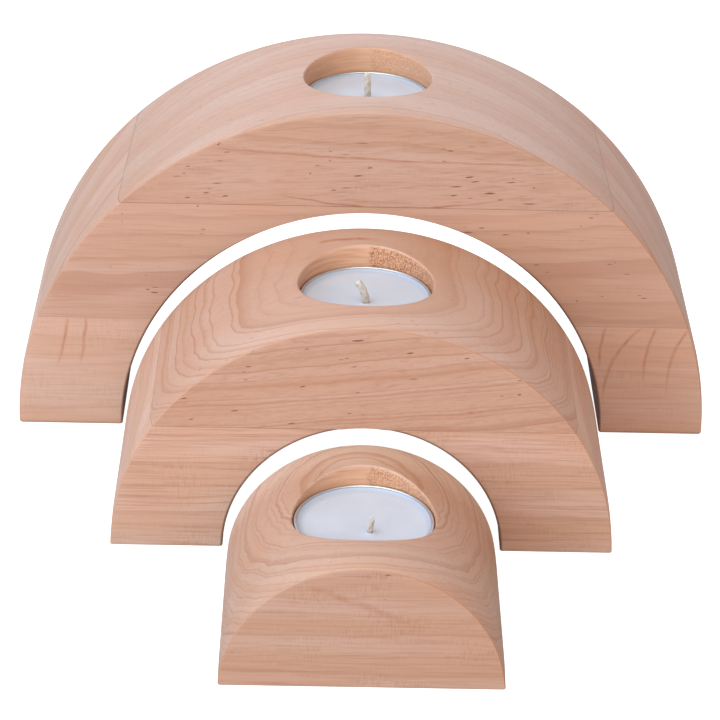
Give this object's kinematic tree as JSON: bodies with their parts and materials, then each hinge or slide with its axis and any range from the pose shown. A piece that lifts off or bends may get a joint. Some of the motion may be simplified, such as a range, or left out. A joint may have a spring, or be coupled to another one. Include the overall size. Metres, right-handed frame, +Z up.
{
  "type": "advent candle holder",
  "caption": "Nesting half-round wooden arches of laminated boards, set out one before another, each with a drilled pocket in its crown that holds a tea light.",
  "frame": {"origin": "middle of the set's footprint on the table top", "axes": "+X across the arches to the right as seen from the front, +Y from the small arch in front to the large arch behind, +Z up"},
  "size_m": [0.2134, 0.2062, 0.1067],
  "materials": {
    "large_wood": "sanded bare hardwood, straight fine grain",
    "medium_wood": "sanded bare hardwood, wavy growth rings",
    "small_wood": "sanded bare hardwood, wavy growth rings",
    "cup_aluminium": "bright drawn sheet",
    "candle_wax": "white paraffin wax with a soft sheen",
    "wick_cotton": "waxed cotton braid",
    "holder_steel": "tinned sheet"
  },
  "bodies": {
    "large_arch": {"large_arch_top_board": "large_wood", "large_arch_middle_board": "large_wood", "large_arch_left_foot": "large_wood", "large_arch_right_foot": "large_wood"},
    "medium_arch": {"medium_arch_top_board": "medium_wood", "medium_arch_left_leg": "medium_wood", "medium_arch_right_leg": "medium_wood"},
    "small_arch": {"small_arch_block": "small_wood"},
    "large_tealight": {"large_tealight_cup": "cup_aluminium", "large_tealight_wax": "candle_wax", "large_tealight_wick": "wick_cotton", "large_tealight_wick_holder": "holder_steel"},
    "medium_tealight": {"medium_tealight_cup": "cup_aluminium", "medium_tealight_wax": "candle_wax", "medium_tealight_wick": "wick_cotton", "medium_tealight_wick_holder": "holder_steel"},
    "small_tealight": {"small_tealight_cup": "cup_aluminium", "small_tealight_wax": "candle_wax", "small_tealight_wick": "wick_cotton", "small_tealight_wick_holder": "holder_steel"}
  },
  "joints": [
    {"name": "medium_arch_nest", "type": "slide", "parent": "large_arch", "child": "medium_arch", "axis": [0, -1, 0], "range_m": [-0.0709, 0.02]},
    {"name": "small_arch_nest", "type": "slide", "parent": "medium_arch", "child": "small_arch", "axis": [0, -1, 0], "range_m": [-0.0703, 0.02]},
    {"name": "large_tealight_lift", "type": "slide", "parent": "large_arch", "child": "large_tealight", "axis": [0, 0, 1], "range_m": [0, 0.03]},
    {"name": "medium_tealight_lift", "type": "slide", "parent": "medium_arch", "child": "medium_tealight", "axis": [0, 0, 1], "range_m": [0, 0.03]},
    {"name": "small_tealight_lift", "type": "slide", "parent": "small_arch", "child": "small_tealight", "axis": [0, 0, 1], "range_m": [0, 0.03]}
  ]
}
